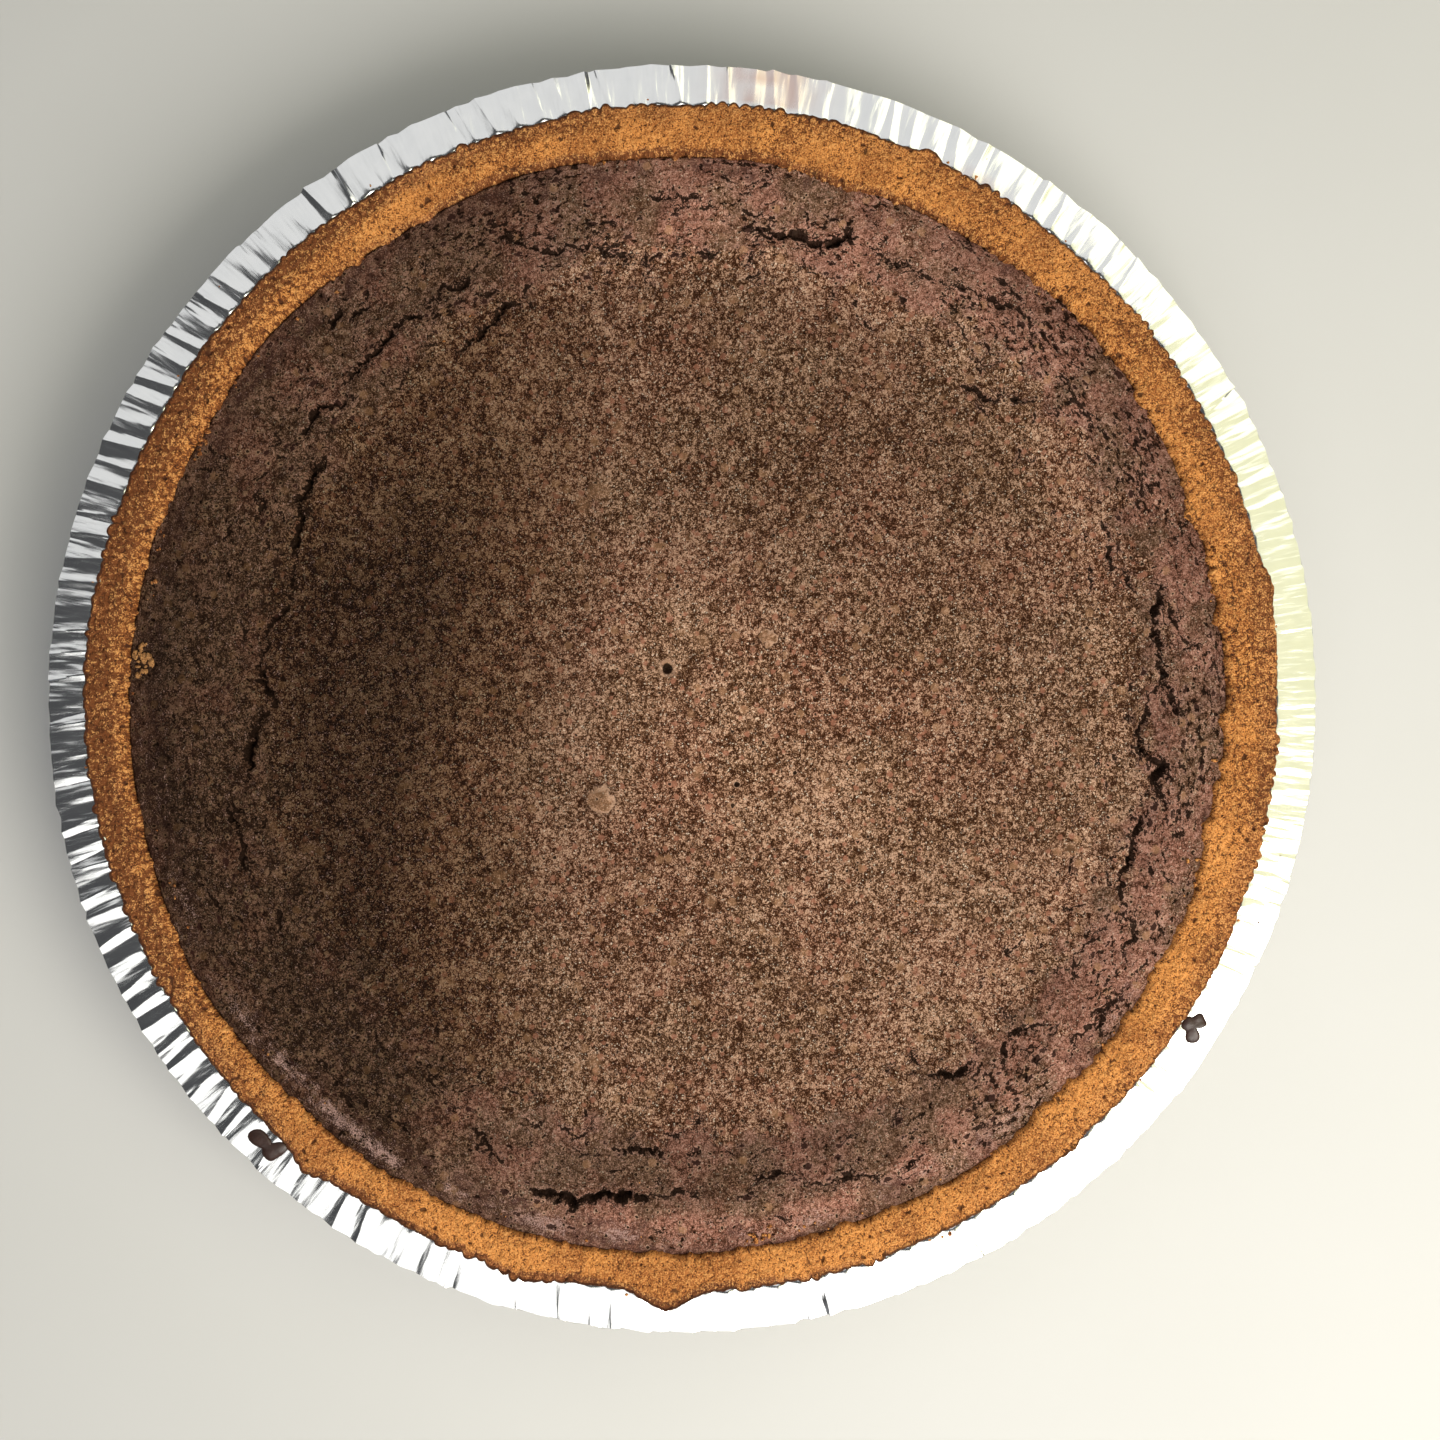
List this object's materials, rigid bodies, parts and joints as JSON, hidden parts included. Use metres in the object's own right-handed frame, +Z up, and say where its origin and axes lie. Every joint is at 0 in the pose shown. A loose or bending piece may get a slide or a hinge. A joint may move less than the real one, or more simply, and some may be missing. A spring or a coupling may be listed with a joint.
{
  "type": "chocolate tart",
  "caption": "Round baked chocolate truffle tart with a puffed, cracked edge, in a crumb crust and its own fluted foil tin.",
  "frame": {"origin": "centre of the tin's flat underside", "axes": "+Z up out of the tart; +X and +Y across it, with +Y away from the two chocolate splashes"},
  "size_m": [0.2286, 0.2286, 0.0308],
  "materials": {
    "foil": "thin crinkled bare foil, satin, pressed into fine radial pleats",
    "crust": "matt baked biscuit crumb, golden orange-brown, darker along its outer edge",
    "chocolate": "fine-grained baked chocolate, mostly matt, with a faint skin sheen on the puffed ring"
  },
  "bodies": {
    "root": {"foil_tin": "foil", "crumb_crust": "crust", "chocolate_filling": "chocolate"}
  },
  "joints": []
}
